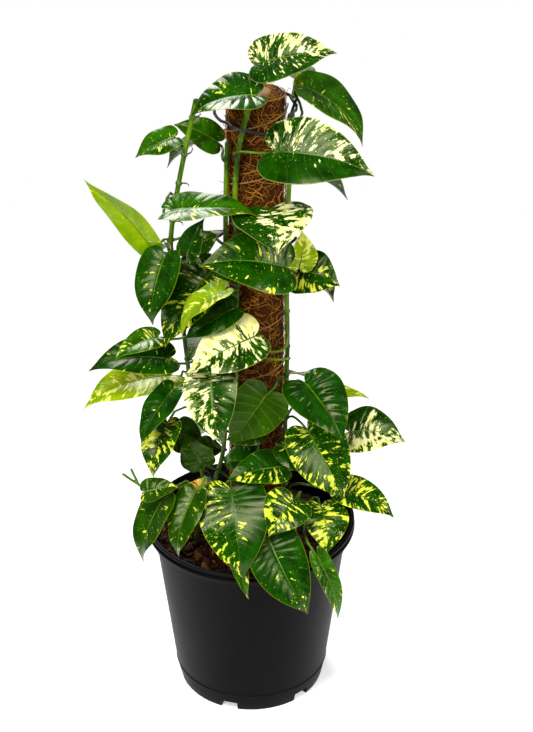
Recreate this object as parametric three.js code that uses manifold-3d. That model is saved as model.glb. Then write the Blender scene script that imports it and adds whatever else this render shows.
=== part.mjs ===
// Potted pothos on a coir pole. Millimetres, +Z up, +X to the right, the front faces -Y.
// The origin is the centre of the pot's underside.
import * as THREE from 'three';
import { mergeVertices } from 'three/addons/utils/BufferGeometryUtils.js';
import Module from 'manifold-3d';

const wasm = await Module();
wasm.setup();

// ---------- driving sizes ----------
const pot = { rimRadius: 127.5, height: 230, footRadius: 91, lowRadius: 95.5, wall: 2.4, floor: 3, sides: 48 };
const lip = { height: 12, overhang: 9.5, width: 5, groove: 1.2, grooveHalf: 1.5, edge: 1 };
const stepRing = { below: 34, out: 1.6, height: 3 };
const footRing = { above: 24, out: 1.2, height: 2.4 };
const ringSlope = 0.4;
const notch = { count: 6, width: 21, height: 11, firstAngle: -107, reach: 16 };
const soilBelowRim = 25;
const pole = {
  x: 8, radius: 32, height: 562, plannedHeight: 562, lowLeaves: 210, stakeRadius: 16, stakeProud: 2,
  footAbove: 12, sleeveBuried: 40,
};
const twine = { radius: 0.9, pitch: 60, stepsPerTurn: 12, endGap: 10 };
const tie = { radius: 1.9, sides: 5, middleUp: 398, vineSpread: 20, clearance: 0.6 };
const stem = { radius: 3.1, sides: 6, stepsPerPoint: 3, clearance: 0.9 };
const petiole = { radius: 1.9, sides: 5, steps: 6, bladeGap: 1.1 };
const blade = { thickness: 1.5, lobe: 0.17 };
const clearance = 0.35;

// ---------- places worked out from the sizes ----------
const soilTop = pot.height - soilBelowRim;
const poleTop = soilTop + pole.height;
// The straight steps of the winding cut inside its circle, so its distance out allows for that.
const twineRadius = (pole.radius + twine.radius + clearance) / Math.cos(Math.PI / twine.stepsPerTurn);
const twineOut = twineRadius - pole.radius;
const stemOut = twineOut + twine.radius + stem.clearance + stem.radius;
const rad = THREE.MathUtils.degToRad;

// A point round the pole: angle from +X, distance out from the coir face, height above the pot's foot.
function roundPole(around, out, z) {
  const r = pole.radius + out;
  return new THREE.Vector3(pole.x + r * Math.cos(rad(around)), r * Math.sin(rad(around)), z);
}
// The plant's heights above the soil are given for a pole of the planned height. Those of the lowest leaves,
// which hang over the rim, stay as they are, and the rest stretch with the pole.
function climbed(up) {
  const stretch = (pole.height - pole.lowLeaves) / (pole.plannedHeight - pole.lowLeaves);
  return soilTop + Math.min(up, pole.lowLeaves) + Math.max(0, up - pole.lowLeaves) * stretch;
}
function byPole([around, out, up]) {
  return roundPole(around, out, climbed(up));
}
// The same, with the height taken from the top of the pole.
function byTop([around, out, up]) {
  return roundPole(around, out, poleTop + up);
}
// A point round the pot: angle from +X, distance out from the rim, height above the rim.
function byRim([around, out, up]) {
  const r = pot.rimRadius + out;
  return new THREE.Vector3(r * Math.cos(rad(around)), r * Math.sin(rad(around)), pot.height + up);
}

const paint = {
  pot: new THREE.MeshStandardMaterial({ color: 0x262728, roughness: 0.45 }),
  bark: new THREE.MeshStandardMaterial({ color: 0x3a2417, roughness: 0.95 }),
  wood: new THREE.MeshStandardMaterial({ color: 0xb08a58, roughness: 0.8 }),
  coir: new THREE.MeshStandardMaterial({ color: 0x8a4f1c, roughness: 0.95 }),
  twine: new THREE.MeshStandardMaterial({ color: 0xb89a68, roughness: 0.9 }),
  tie: new THREE.MeshStandardMaterial({ color: 0x171717, roughness: 0.6 }),
  stem: new THREE.MeshStandardMaterial({ color: 0x7d9a3a, roughness: 0.55 }),
  green: new THREE.MeshStandardMaterial({ color: 0x2f6e16, roughness: 0.3 }),
  dark: new THREE.MeshStandardMaterial({ color: 0x1c5a0c, roughness: 0.28 }),
  lime: new THREE.MeshStandardMaterial({ color: 0x9dbb2c, roughness: 0.35 }),
  cream: new THREE.MeshStandardMaterial({ color: 0xd9dc9a, roughness: 0.35 }),
};

const plant = new THREE.Group();
function add(name, geometry, material) {
  const mesh = new THREE.Mesh(geometry, material);
  mesh.name = name;
  plant.add(mesh);
}

// ---------- solids ----------
function solidOf(geometry) {
  const bare = geometry.index ? geometry.toNonIndexed() : geometry.clone();
  bare.deleteAttribute('normal');
  bare.deleteAttribute('uv');
  const merged = mergeVertices(bare, 1e-4);
  return new wasm.Manifold(new wasm.Mesh({
    numProp: 3,
    vertProperties: new Float32Array(merged.attributes.position.array),
    triVerts: new Uint32Array(merged.index.array),
  }));
}
function geometryOf(solid) {
  const mesh = solid.getMesh();
  const geometry = new THREE.BufferGeometry();
  geometry.setAttribute('position', new THREE.BufferAttribute(new Float32Array(mesh.vertProperties), 3));
  geometry.setIndex(new THREE.BufferAttribute(new Uint32Array(mesh.triVerts), 1));
  return geometry;
}
function lathe(profile, segments) {
  const geometry = new THREE.LatheGeometry(profile.map(([r, z]) => new THREE.Vector2(r, z)), segments);
  return geometry.rotateX(Math.PI / 2);
}
function tube(curve, radius, sides, steps) {
  const section = new THREE.Shape();
  for (let i = 0; i < sides; i += 1) {
    const a = (2 * Math.PI * i) / sides;
    if (i === 0) section.moveTo(radius * Math.cos(a), radius * Math.sin(a));
    else section.lineTo(radius * Math.cos(a), radius * Math.sin(a));
  }
  section.closePath();
  return new THREE.ExtrudeGeometry(section, { steps, extrudePath: curve, bevelEnabled: false });
}
function through(points, closed = false) {
  return new THREE.CatmullRomCurve3(points, closed, 'centripetal');
}

// ---------- pot: thin wall, double lip, two ring lines, drain notches round the foot ----------
function potWallRadius(z) {
  const span = pot.height - lip.height - footRing.above;
  return pot.lowRadius + (pot.rimRadius - lip.overhang - pot.lowRadius) * ((z - footRing.above) / span);
}
function ringLine(z, out, height) {
  const top = z + height;
  return [[potWallRadius(z), z], [potWallRadius(z) + out, z + ringSlope],
    [potWallRadius(top) + out, top - ringSlope], [potWallRadius(top), top]];
}
function potGeometry() {
  const lipFoot = pot.height - lip.height;
  const lipMiddle = pot.height - lip.height / 2;
  const profile = [
    [0, 0], [pot.footRadius, 0],
    ...ringLine(footRing.above, footRing.out, footRing.height),
    ...ringLine(pot.height - stepRing.below, stepRing.out, stepRing.height),
    [potWallRadius(lipFoot), lipFoot], [pot.rimRadius - lip.edge, lipFoot + lip.edge / 2],
    [pot.rimRadius, lipMiddle - lip.grooveHalf], [pot.rimRadius - lip.groove, lipMiddle],
    [pot.rimRadius, lipMiddle + lip.grooveHalf], [pot.rimRadius - lip.edge, pot.height],
    [pot.rimRadius - lip.width, pot.height], [potWallRadius(lipFoot) - pot.wall, lipFoot - lip.overhang],
    [potWallRadius(footRing.above) - pot.wall, footRing.above],
    [pot.footRadius - pot.wall, pot.floor], [0, pot.floor],
  ];
  let solid = solidOf(lathe(profile, pot.sides));
  for (let i = 0; i < notch.count; i += 1) {
    const cutter = new THREE.BoxGeometry(2 * notch.reach, notch.width, 2 * notch.height);
    cutter.translate(pot.footRadius, 0, 0);
    cutter.rotateZ(rad(notch.firstAngle + (360 * i) / notch.count));
    solid = solid.subtract(solidOf(cutter));
  }
  return geometryOf(solid);
}
add('pot', potGeometry(), paint.pot);

// ---------- soil: fills the pot up to its level, bored for the pole ----------
function soilGeometry() {
  const bottom = pot.floor + clearance;
  const low = footRing.above;
  const inner = (z) => potWallRadius(z) - pot.wall - 2 * clearance;
  const fill = lathe([[0, bottom], [pot.footRadius - pot.wall - 2 * clearance, bottom], [inner(low), low],
    [inner(soilTop), soilTop], [0, soilTop]], pot.sides);
  const stakeBore = new THREE.CylinderGeometry(pole.stakeRadius + clearance, pole.stakeRadius + clearance,
    2 * soilTop, 24).rotateX(Math.PI / 2).translate(pole.x, 0, soilTop + pole.footAbove);
  const sleeveBore = new THREE.CylinderGeometry(pole.radius + 2 * clearance, pole.radius + 2 * clearance,
    2 * (pole.sleeveBuried + clearance), 32).rotateX(Math.PI / 2).translate(pole.x, 0, soilTop);
  return geometryOf(solidOf(fill).subtract(solidOf(stakeBore)).subtract(solidOf(sleeveBore)));
}
add('soil', soilGeometry(), paint.bark);

// ---------- pole: wooden stake, coir sleeve round it, twine wound round the sleeve ----------
const stakeFoot = pole.footAbove + clearance;
add('pole_stake', lathe([[0, stakeFoot], [pole.stakeRadius, stakeFoot],
  [pole.stakeRadius, poleTop + pole.stakeProud], [0, poleTop + pole.stakeProud]], 20)
  .translate(pole.x, 0, 0), paint.wood);

const sleeveFoot = soilTop - pole.sleeveBuried;
add('coir_sleeve', lathe([[pole.stakeRadius + clearance, sleeveFoot], [pole.radius, sleeveFoot],
  [pole.radius, poleTop], [pole.stakeRadius + clearance, poleTop],
  [pole.stakeRadius + clearance, sleeveFoot]], 32).translate(pole.x, 0, 0), paint.coir);

function twineGeometry() {
  const turns = (pole.height - 2 * twine.endGap) / twine.pitch;
  const steps = Math.round(turns * twine.stepsPerTurn);
  const points = [];
  for (let i = 0; i <= steps; i += 1) {
    const turn = i / twine.stepsPerTurn;
    points.push(roundPole(360 * turn, twineOut, soilTop + twine.endGap + twine.pitch * turn));
  }
  return tube(through(points), twine.radius, 4, steps);
}
add('twine', twineGeometry(), paint.twine);

// ---------- vines: the climbing stems, from just above the soil, by angle, distance out and height ----------
const soilGap = stem.clearance;
const onPole = stemOut;
const vines = {
  front_vine: [[-112, 34, soilGap], [-114, 24, 34], [-120, onPole + 4, 84], [-126, onPole, 130],
    [-127, onPole, 210], [-126, onPole, 300], [-121, onPole, 380], [-124, onPole, 470], [-112, onPole, 528],
    [-96, onPole, 566]],
  right_vine: [[-38, 30, soilGap], [-36, onPole + 5, 60], [-33, onPole, 110], [-30, onPole, 190],
    [-26, onPole, 270], [-30, onPole, 360], [-26, onPole, 450], [-8, onPole, 505], [6, onPole, 538]],
  left_vine: [[-168, 44, soilGap], [-166, 27, 60], [-163, onPole + 2, 125], [-160, onPole, 180],
    [-156, onPole, 260], [-150, onPole, 360], [-146, onPole, 450], [-140, onPole, 515]],
  free_vine: [[150, 36, soilGap], [158, 44, 90], [165, 50, 200], [172, 56, 300], [-170, 64, 390],
    [-164, 54, 470], [-160, 42, 530], [-156, 36, 564]],
  back_vine: [[88, 32, soilGap], [90, onPole + 5, 60], [92, onPole, 115], [94, onPole, 190], [86, onPole, 300],
    [92, onPole, 420], [96, onPole, 500], [92, onPole, 546]],
};

// ---------- leaves ----------
// Each leaf: the vine it grows from and the height of its node on it; where the blade starts and ends;
// its width; the way its upper side faces (angle round, angle up); how far its middle bows out; its fold.
// "via" is a point that the petiole passes.
const leaves = {
  crown_top: { vine: 'front_vine', node: 556, place: byTop, from: [-84, 4, 43], to: [-27, 61, 59],
    width: 58, face: [-95, 52], bow: 6, fold: 0.25, colour: 'cream' },
  crown_left: { vine: 'front_vine', node: 548, place: byTop, from: [-89, 31, 18], to: [-134, 65, 1],
    width: 72, face: [-95, 78], bow: 7, fold: 0.3, colour: 'green' },
  crown_right: { vine: 'right_vine', node: 520, place: byTop, from: [4, 22, 4], to: [0, 88, -58],
    width: 60, face: [-35, 48], via: [4, 18, -22], bow: 8, fold: 0.3, colour: 'green' },
  shoulder_right: { vine: 'front_vine', node: 500, place: byPole, from: [-72, 34, 519], to: [-36, 120, 505],
    width: 76, face: [-85, 42], bow: 8, fold: 0.25, colour: 'dark' },
  bow_left: { vine: 'free_vine', node: 505, place: byPole, from: [-170, 56, 517], to: [-169, 100, 500],
    width: 38, face: [-110, 60], bow: 4, fold: 0.2, colour: 'lime' },
  bow_right: { vine: 'left_vine', node: 490, place: byPole, from: [178, 10, 506], to: [178, 56, 526],
    width: 36, face: [-100, 45], bow: 3, fold: 0.2, colour: 'green' },
  far_left_lime: { vine: 'free_vine', node: 395, place: byPole, from: [-160, 90, 402], to: [-162, 159, 481],
    width: 34, face: [-60, -40], bow: -8, fold: 0.35, colour: 'lime' },
  bridge: { vine: 'free_vine', node: 450, place: byPole, from: [-146, 76, 452], to: [-88, 40, 456],
    width: 52, face: [-90, 78], bow: 5, fold: 0.25, colour: 'green' },
  heart: { vine: 'front_vine', node: 420, place: byPole, from: [-76, 26, 450], to: [-77, 70, 420],
    width: 86, face: [-88, 55], bow: 6, fold: 0.2, colour: 'cream' },
  lime_right: { vine: 'right_vine', node: 360, place: byPole, from: [-34, 25, 372], to: [-24, 24, 412],
    width: 38, face: [-60, 20], bow: 3, fold: 0.3, colour: 'lime' },
  big_center: { vine: 'front_vine', node: 365, place: byPole, from: [-62, 34, 385], to: [-129, 64, 395],
    width: 72, face: [-92, 45], bow: 8, fold: 0.25, colour: 'dark' },
  fan_right: { vine: 'right_vine', node: 345, place: byPole, from: [-22, 18, 360], to: [-18, 66, 350],
    width: 56, face: [-80, 45], bow: 5, fold: 0.2, colour: 'green' },
  drop_left: { vine: 'free_vine', node: 385, place: byPole, from: [-150, 82, 396], to: [-145, 109, 325],
    width: 56, face: [-125, 22], bow: 6, fold: 0.25, colour: 'dark' },
  sliver_left: { vine: 'free_vine', node: 372, place: byPole, from: [-142, 62, 400], to: [-136, 46, 440],
    width: 28, face: [-110, 20], bow: 3, fold: 0.3, colour: 'green' },
  large_left: { vine: 'left_vine', node: 350, place: byPole, from: [-147, 25, 368], to: [-149, 90, 289],
    width: 62, face: [-115, 40], bow: 8, fold: 0.25, colour: 'green' },
  crescent: { vine: 'front_vine', node: 335, place: byPole, from: [-116, 48, 363], to: [-133, 91, 318],
    width: 44, face: [-160, 55], bow: 9, fold: 0.3, colour: 'lime' },
  white: { vine: 'front_vine', node: 290, place: byPole, from: [-92, 32, 303], to: [-132, 82, 268],
    width: 66, face: [-95, 52], bow: 7, fold: 0.25, colour: 'cream' },
  wing_low: { vine: 'left_vine', node: 240, place: byPole, from: [-158, 77, 263], to: [-162, 166, 262],
    width: 52, face: [-110, 58], bow: 8, fold: 0.25, colour: 'dark' },
  wing_high: { vine: 'left_vine', node: 270, place: byPole, from: [-159, 86, 292], to: [-154, 142, 284],
    width: 36, face: [-110, 60], bow: 5, fold: 0.25, colour: 'lime' },
  lime_left: { vine: 'free_vine', node: 205, place: byPole, from: [-174, 68, 226], to: [-169, 173, 201],
    width: 60, face: [-100, 66], bow: 9, fold: 0.25, colour: 'lime' },
  dark_left: { vine: 'left_vine', node: 200, place: byPole, from: [-148, 80, 232], to: [-146, 128, 181],
    width: 42, face: [-135, 38], bow: 6, fold: 0.25, colour: 'dark' },
  center_left: { vine: 'left_vine', node: 225, place: byPole, from: [-125, 56, 262], to: [-110, 84, 190],
    width: 62, face: [-105, 32], bow: 6, fold: 0.25, colour: 'cream' },
  olive: { vine: 'right_vine', node: 200, place: byPole, from: [-78, 24, 226], to: [-114, 42, 168],
    width: 66, face: [96, -4], via: [-64, 26, 246], bow: -5, fold: -0.2, colour: 'lime' },
  glossy_right: { vine: 'right_vine', node: 215, place: byPole, from: [-35, 35, 231], to: [-43, 104, 186],
    width: 70, face: [-68, 42], bow: 8, fold: 0.25, colour: 'green' },
  varieg_right: { vine: 'right_vine', node: 140, place: byPole, from: [-13, 79, 157], to: [-13, 146, 155],
    width: 62, face: [-75, 55], bow: 6, fold: 0.25, colour: 'cream' },
  big_varieg_right: { vine: 'right_vine', node: 170, place: byPole, from: [-43, 48, 178], to: [-38, 100, 100],
    width: 72, face: [-75, 38], bow: 7, fold: 0.2, colour: 'green' },
  low_left_varieg: { vine: 'left_vine', node: 165, place: byPole, from: [-152, 84, 188], to: [-145, 115, 132],
    width: 48, face: [-125, 32], bow: 5, fold: 0.25, colour: 'cream' },
  low_center: { vine: 'front_vine', node: 95, place: byPole, from: [-66, 38, 134], to: [-112, 62, 131],
    width: 46, face: [-90, 60], bow: 6, fold: 0.25, colour: 'dark' },
  low_right_dark: { vine: 'right_vine', node: 110, place: byPole, from: [-56, 24, 150], to: [-40, 64, 120],
    width: 38, face: [-80, 45], bow: 4, fold: 0.25, colour: 'dark' },
  yellowing: { vine: 'left_vine', node: 80, place: byPole, from: [-136, 52, 96], to: [-141, 78, 80],
    width: 24, face: [-110, 40], bow: 3, fold: 0.4, colour: 'lime' },
  left_outer: { vine: 'left_vine', node: 55, place: byRim, from: [-140, 2, 78], to: [-140, 40, 6],
    width: 50, face: [-140, 26], bow: 8, fold: 0.3, colour: 'green' },
  left_inner: { vine: 'left_vine', node: 40, place: byRim, from: [-125, -17, 88], to: [-125, 20, 22],
    width: 42, face: [-122, 30], bow: 7, fold: 0.25, colour: 'green' },
  speckled: { vine: 'front_vine', node: 62, place: byRim, from: [-104, -42, 88], to: [-93, 14, 4],
    width: 82, face: [-98, 40], bow: 11, fold: 0.18, colour: 'cream' },
  front_glossy: { vine: 'front_vine', node: 40, place: byRim, from: [-79, -14, 42], to: [-65, 37, -40],
    width: 66, face: [-80, 28], bow: 8, fold: 0.25, colour: 'dark' },
  front_narrow: { vine: 'right_vine', node: 30, place: byRim, from: [-57, 18, 22], to: [-51, 41, -60],
    width: 26, face: [-62, 24], bow: 5, fold: 0.3, colour: 'green' },
  low_right: { vine: 'right_vine', node: 75, place: byRim, from: [-28, -6, 75], to: [-25, 60, 52],
    width: 46, face: [-60, 58], bow: 6, fold: 0.25, colour: 'green' },
  low_right_heart: { vine: 'right_vine', node: 34, place: byRim, from: [-42, -16, 61], to: [-52, 18, 22],
    width: 56, face: [-72, 46], bow: 6, fold: 0.2, colour: 'green' },
  low_front_heart: { vine: 'right_vine', node: 44, place: byRim, from: [-62, -20, 82], to: [-80, 0, 54],
    width: 54, face: [-80, 48], via: [-52, -40, 60], bow: 6, fold: 0.3, colour: 'green' },
  back_crown: { vine: 'back_vine', node: 545, place: byTop, from: [70, 20, 10], to: [60, 84, -30],
    width: 66, face: [62, 52], bow: 8, fold: 0.25, colour: 'green' },
  back_high_left: { vine: 'back_vine', node: 470, place: byPole, from: [120, 30, 492], to: [140, 104, 450],
    width: 64, face: [125, 48], bow: 8, fold: 0.25, colour: 'cream' },
  back_high_right: { vine: 'back_vine', node: 425, place: byPole, from: [62, 32, 448], to: [40, 108, 410],
    width: 72, face: [55, 46], bow: 8, fold: 0.25, colour: 'dark' },
  back_mid_left: { vine: 'back_vine', node: 350, place: byPole, from: [116, 34, 374], to: [128, 108, 326],
    width: 70, face: [118, 44], bow: 8, fold: 0.22, colour: 'green' },
  back_mid_right: { vine: 'back_vine', node: 300, place: byPole, from: [58, 34, 322], to: [48, 110, 270],
    width: 66, face: [58, 42], bow: 8, fold: 0.25, colour: 'cream' },
  back_low_left: { vine: 'back_vine', node: 205, place: byPole, from: [112, 40, 232], to: [126, 118, 178],
    width: 76, face: [114, 42], bow: 9, fold: 0.22, colour: 'dark' },
  back_low_right: { vine: 'back_vine', node: 160, place: byPole, from: [64, 44, 184], to: [50, 120, 130],
    width: 72, face: [62, 44], bow: 9, fold: 0.22, colour: 'green' },
  back_rim_left: { vine: 'back_vine', node: 70, place: byRim, from: [118, -34, 78], to: [126, 26, 10],
    width: 74, face: [118, 38], bow: 9, fold: 0.22, colour: 'cream' },
  back_rim_right: { vine: 'back_vine', node: 50, place: byRim, from: [60, -26, 66], to: [48, 34, -6],
    width: 70, face: [58, 36], bow: 9, fold: 0.22, colour: 'green' },
};

// Side shoots without a leaf: cut ends, a bare stub towards the pole, a young shoot over the rim.
const shoots = [
  { vine: 'front_vine', node: 296, points: [[-96, 20, 288], [-82, 20, 270], [-64, 22, 266], [-47, 25, 264]] },
  { vine: 'right_vine', node: 286, points: [[-40, 14, 279], [-46, 14, 271], [-62, 11, 270], [-84, 9, 274]] },
  { vine: 'free_vine', node: 398, points: [[-168, 50, 402], [-166, 34, 405], [-167, 19, 406]] },
  { vine: 'left_vine', node: 30, points: [[-155, 72, 66], [-152, 92, 84], [-155, 120, 110], [-158, 136, 124]] },
  { vine: 'left_vine', node: 30, points: [[-155, 72, 66], [-152, 92, 84], [-155, 119, 109], [-156, 127, 132]] },
];

// The blade's own frame: along the midrib, across it, and out of its upper side.
function bladeFrame(leaf) {
  const base = leaf.place(leaf.from);
  const tip = leaf.place(leaf.to);
  const along = tip.clone().sub(base);
  const length = along.length();
  along.normalize();
  const [turn, lift] = leaf.face.map(rad);
  const out = new THREE.Vector3(Math.cos(turn), Math.sin(turn), Math.tan(lift)).normalize();
  out.addScaledVector(along, -out.dot(along)).normalize();
  const across = along.clone().cross(out);
  return { base, along, out, across, length };
}

// Half the width of the blade at each station from base to tip, as a share of its width.
const stations = [0, 0.1, 0.26, 0.45, 0.65, 0.84];
const halfWidths = [0.34, 0.47, 0.5, 0.42, 0.27, 0.1];
const columns = [-1, -0.5, 0, 0.5, 1];

// A heart-shaped blade: lobes swept back beside the petiole, a drawn-out tip, a fold along the
// midrib and a bow along its length. Both skins share the margin, so the blade is one closed solid.
function bladeGeometry(leaf) {
  const { base, along, out, across, length } = bladeFrame(leaf);
  const point = (u, v, half, sink) => {
    const back = blade.lobe * length * Math.sin(Math.PI * 0.72 * Math.abs(v)) * (1 - u) ** 4;
    const side = v * half * leaf.width;
    const rise = leaf.bow * 4 * u * (1 - u) + leaf.fold * Math.abs(side) * (1 - 0.45 * Math.abs(v));
    return base.clone().addScaledVector(along, u * length - back).addScaledVector(across, side)
      .addScaledVector(out, rise - sink);
  };
  const points = [];
  const put = (p) => points.push(p) - 1;
  const top = stations.map((u, i) => columns.map((v) => put(point(u, v, halfWidths[i], 0))));
  const under = stations.map((u, i) => columns.map((v, j) => {
    if (i === 0 || Math.abs(v) === 1) return top[i][j];
    return put(point(u, v, halfWidths[i], blade.thickness * (1 - 0.4 * Math.abs(v))));
  }));
  const tip = put(point(1, 0, 0, 0));
  const index = [];
  for (let i = 0; i < stations.length; i += 1) {
    for (let j = 0; j < columns.length - 1; j += 1) {
      if (i === stations.length - 1) {
        index.push(top[i][j], top[i][j + 1], tip, under[i][j + 1], under[i][j], tip);
      } else {
        index.push(top[i][j], top[i][j + 1], top[i + 1][j + 1], top[i][j], top[i + 1][j + 1], top[i + 1][j]);
        if (i === 0 && j === columns.length - 2) {
          // At this corner both skins have the same three margin points, so this one is split the other way.
          index.push(under[i][j], under[i + 1][j], under[i][j + 1]);
          index.push(under[i][j + 1], under[i + 1][j], under[i + 1][j + 1]);
        } else {
          index.push(under[i][j], under[i + 1][j + 1], under[i][j + 1]);
          index.push(under[i][j], under[i + 1][j], under[i + 1][j + 1]);
        }
      }
    }
  }
  const geometry = new THREE.BufferGeometry().setFromPoints(points);
  geometry.setIndex(index);
  return geometry;
}

// A petiole leaves the vine at its node, rises outward and comes to the blade from below and behind.
function petioleCurve(leaf, start) {
  const { base, along, out } = bladeFrame(leaf);
  const gap = petiole.radius + petiole.bladeGap;
  const end = base.clone().addScaledVector(out, -gap).addScaledVector(along, -1);
  const reach = start.distanceTo(end);
  const near = end.clone().addScaledVector(along, -0.22 * reach).addScaledVector(out, -0.16 * reach);
  const away = new THREE.Vector3(start.x - pole.x, start.y, 0).normalize();
  const leave = start.clone().addScaledVector(away, 0.16 * reach);
  leave.z += 0.2 * reach;
  const middle = leaf.via ? [leaf.place(leaf.via)] : [];
  return through([start, leave, ...middle, near, end]);
}

// A vine comes straight up out of the soil before it leans to the pole.
function vineRoute(name) {
  const points = vines[name].map(byPole);
  points.splice(1, 0, points[0].clone().setZ(points[0].z + 3 * stem.radius));
  return through(points);
}
// The point of a vine at a height above the soil, on its real straight steps, so that what starts
// there always starts inside the stem.
function vinePoint(name, up) {
  const samples = vineRoute(name).getSpacedPoints(stem.stepsPerPoint * vines[name].length);
  const level = climbed(up);
  const above = samples.findIndex((p) => p.z > level);
  const i = above > 0 ? above : samples.length - 1;
  const share = (level - samples[i - 1].z) / (samples[i].z - samples[i - 1].z);
  return samples[i - 1].clone().lerp(samples[i], Math.min(1, share));
}
function vineGeometry(name) {
  const steps = stem.stepsPerPoint * vines[name].length;
  let solid = solidOf(tube(vineRoute(name), stem.radius, stem.sides, steps));
  const join = (curve) => {
    solid = solid.add(solidOf(tube(curve, petiole.radius, petiole.sides, petiole.steps)));
  };
  Object.values(leaves).filter((leaf) => leaf.vine === name)
    .forEach((leaf) => join(petioleCurve(leaf, vinePoint(name, leaf.node))));
  shoots.filter((shoot) => shoot.vine === name)
    .forEach((shoot) => join(through([vinePoint(name, shoot.node), ...shoot.points.map(byPole)])));
  return geometryOf(solid);
}

// ---------- soft ties: coated wire, snug on the sleeve and over each vine that it holds ----------
const snug = twineOut + twine.radius + tie.clearance + tie.radius;
const overVine = stemOut + stem.radius + tie.clearance + tie.radius;
function middleTieGeometry() {
  const held = Object.keys(vines).map((name) => vinePoint(name, tie.middleUp))
    .map((p) => new THREE.Vector2(p.x - pole.x, p.y))
    .filter((p) => p.length() < pole.radius + 2 * stemOut);
  const points = [];
  for (let around = 0; around < 360; around += 12) {
    const facing = new THREE.Vector2(Math.cos(rad(around)), Math.sin(rad(around)));
    const near = held.some((p) => Math.acos(facing.dot(p.clone().normalize())) < rad(tie.vineSpread));
    points.push(byPole([around, near ? overVine : snug, tie.middleUp]));
  }
  return tube(through(points, true), tie.radius, tie.sides, 45);
}
add('soft_tie_middle', middleTieGeometry(), paint.tie);

// The top tie comes round the back, drops on the left, crosses the front vine and ends in a twist.
const topTieRoute = [
  [-78, overVine, -31], [-58, snug + 2, -33], [-45, snug + 1, -34], [-29, 12, -29], [-35, 9, -20],
  [-20, 15, -12], [-16, 10, -7], [-2, snug, -6], [14, snug, -7], [28, snug, -8], [55, snug, -10],
  [76, overVine, -24], [92, overVine, -25], [108, overVine, -24], [130, snug, -14], [160, snug, -10],
  [-178, 7, -9], [-170, 12, -13], [-167, 13, -20], [-160, 9, -26], [-140, snug, -26], [-122, overVine, -26],
  [-106, overVine, -27], [-92, overVine, -29],
];
add('soft_tie_top', tube(through(topTieRoute.map(byTop), true), tie.radius, tie.sides, 60), paint.tie);

Object.keys(vines).forEach((name) => add(name, vineGeometry(name), paint.stem));
Object.entries(leaves).forEach(([name, leaf]) => {
  add(`leaf_${name}`, bladeGeometry(leaf), paint[leaf.colour]);
});

export default plant;
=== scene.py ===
# Potted pothos on a coir pole: the finished pieces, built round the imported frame.
# Lengths are in metres, +Z is up and the front faces -Y.
import math
import random

import bpy
import bmesh
import numpy as np
from mathutils import Matrix, Vector, noise


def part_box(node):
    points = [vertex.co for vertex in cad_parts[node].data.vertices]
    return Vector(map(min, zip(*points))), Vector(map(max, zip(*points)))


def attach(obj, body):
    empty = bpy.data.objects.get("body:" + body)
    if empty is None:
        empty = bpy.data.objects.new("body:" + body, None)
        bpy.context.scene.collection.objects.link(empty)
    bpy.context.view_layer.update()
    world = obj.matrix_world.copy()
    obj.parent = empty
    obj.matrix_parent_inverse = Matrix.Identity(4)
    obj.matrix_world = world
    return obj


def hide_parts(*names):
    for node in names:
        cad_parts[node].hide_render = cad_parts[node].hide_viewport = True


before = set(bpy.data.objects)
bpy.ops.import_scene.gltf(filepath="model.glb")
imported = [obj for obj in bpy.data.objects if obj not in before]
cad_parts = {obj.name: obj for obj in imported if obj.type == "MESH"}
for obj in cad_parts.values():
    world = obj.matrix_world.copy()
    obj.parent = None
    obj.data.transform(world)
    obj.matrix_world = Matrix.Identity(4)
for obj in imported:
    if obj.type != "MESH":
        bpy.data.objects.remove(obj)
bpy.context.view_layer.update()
MM = 0.001
scene = bpy.context.scene


# ---- Camera ----
# A short telephoto lens looks down on the plant from the front, a little to the right of the pot.
camera_height, camera_distance, camera_pitch, camera_side = 1.30, 1.60, 28.35, 0.0195
bpy.ops.object.camera_add(location=(camera_side, -camera_distance, camera_height),
                          rotation=(math.radians(90 - camera_pitch), 0, 0))
camera = bpy.context.object
camera.data.lens = 76.97
camera.data.sensor_width = 36
camera.data.clip_end = 60
scene.camera = camera


# ---- Pot ----
# A round nursery pot with a rolled double lip, a step ring under it and a ring line above the foot.
# Injection-moulded black polypropylene, 2.4 mm thick, with six drain notches cut in the foot's edge.
def deselect():
    if bpy.context.object and bpy.context.object.mode != "OBJECT":
        bpy.ops.object.mode_set(mode="OBJECT")
    bpy.ops.object.select_all(action="DESELECT")


def choose(piece):
    deselect()
    piece.select_set(True)
    bpy.context.view_layer.objects.active = piece


def mesh_piece(name, points, faces=(), edges=()):
    data = bpy.data.meshes.new(name)
    data.from_pydata([tuple(p) for p in points], list(edges), list(faces))
    piece = bpy.data.objects.new(name, data)
    scene.collection.objects.link(piece)
    return piece


def finish_modifier(piece, kind, **settings):
    choose(piece)
    modifier = piece.modifiers.new(kind.lower(), kind)
    for key, value in settings.items():
        setattr(modifier, key, value)
    bpy.ops.object.modifier_apply(modifier=modifier.name)


def settle(piece, material, slot, *stands_for, angle=40):
    """Gives the piece its material and smooth shading, and says what it rides on and stands for."""
    if material is not None:
        piece.data.materials.clear()
        piece.data.materials.append(material)
    choose(piece)
    bpy.ops.object.shade_smooth_by_angle(angle=math.radians(angle))
    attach(piece, "root")
    if stands_for:
        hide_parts(*stands_for)


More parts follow.
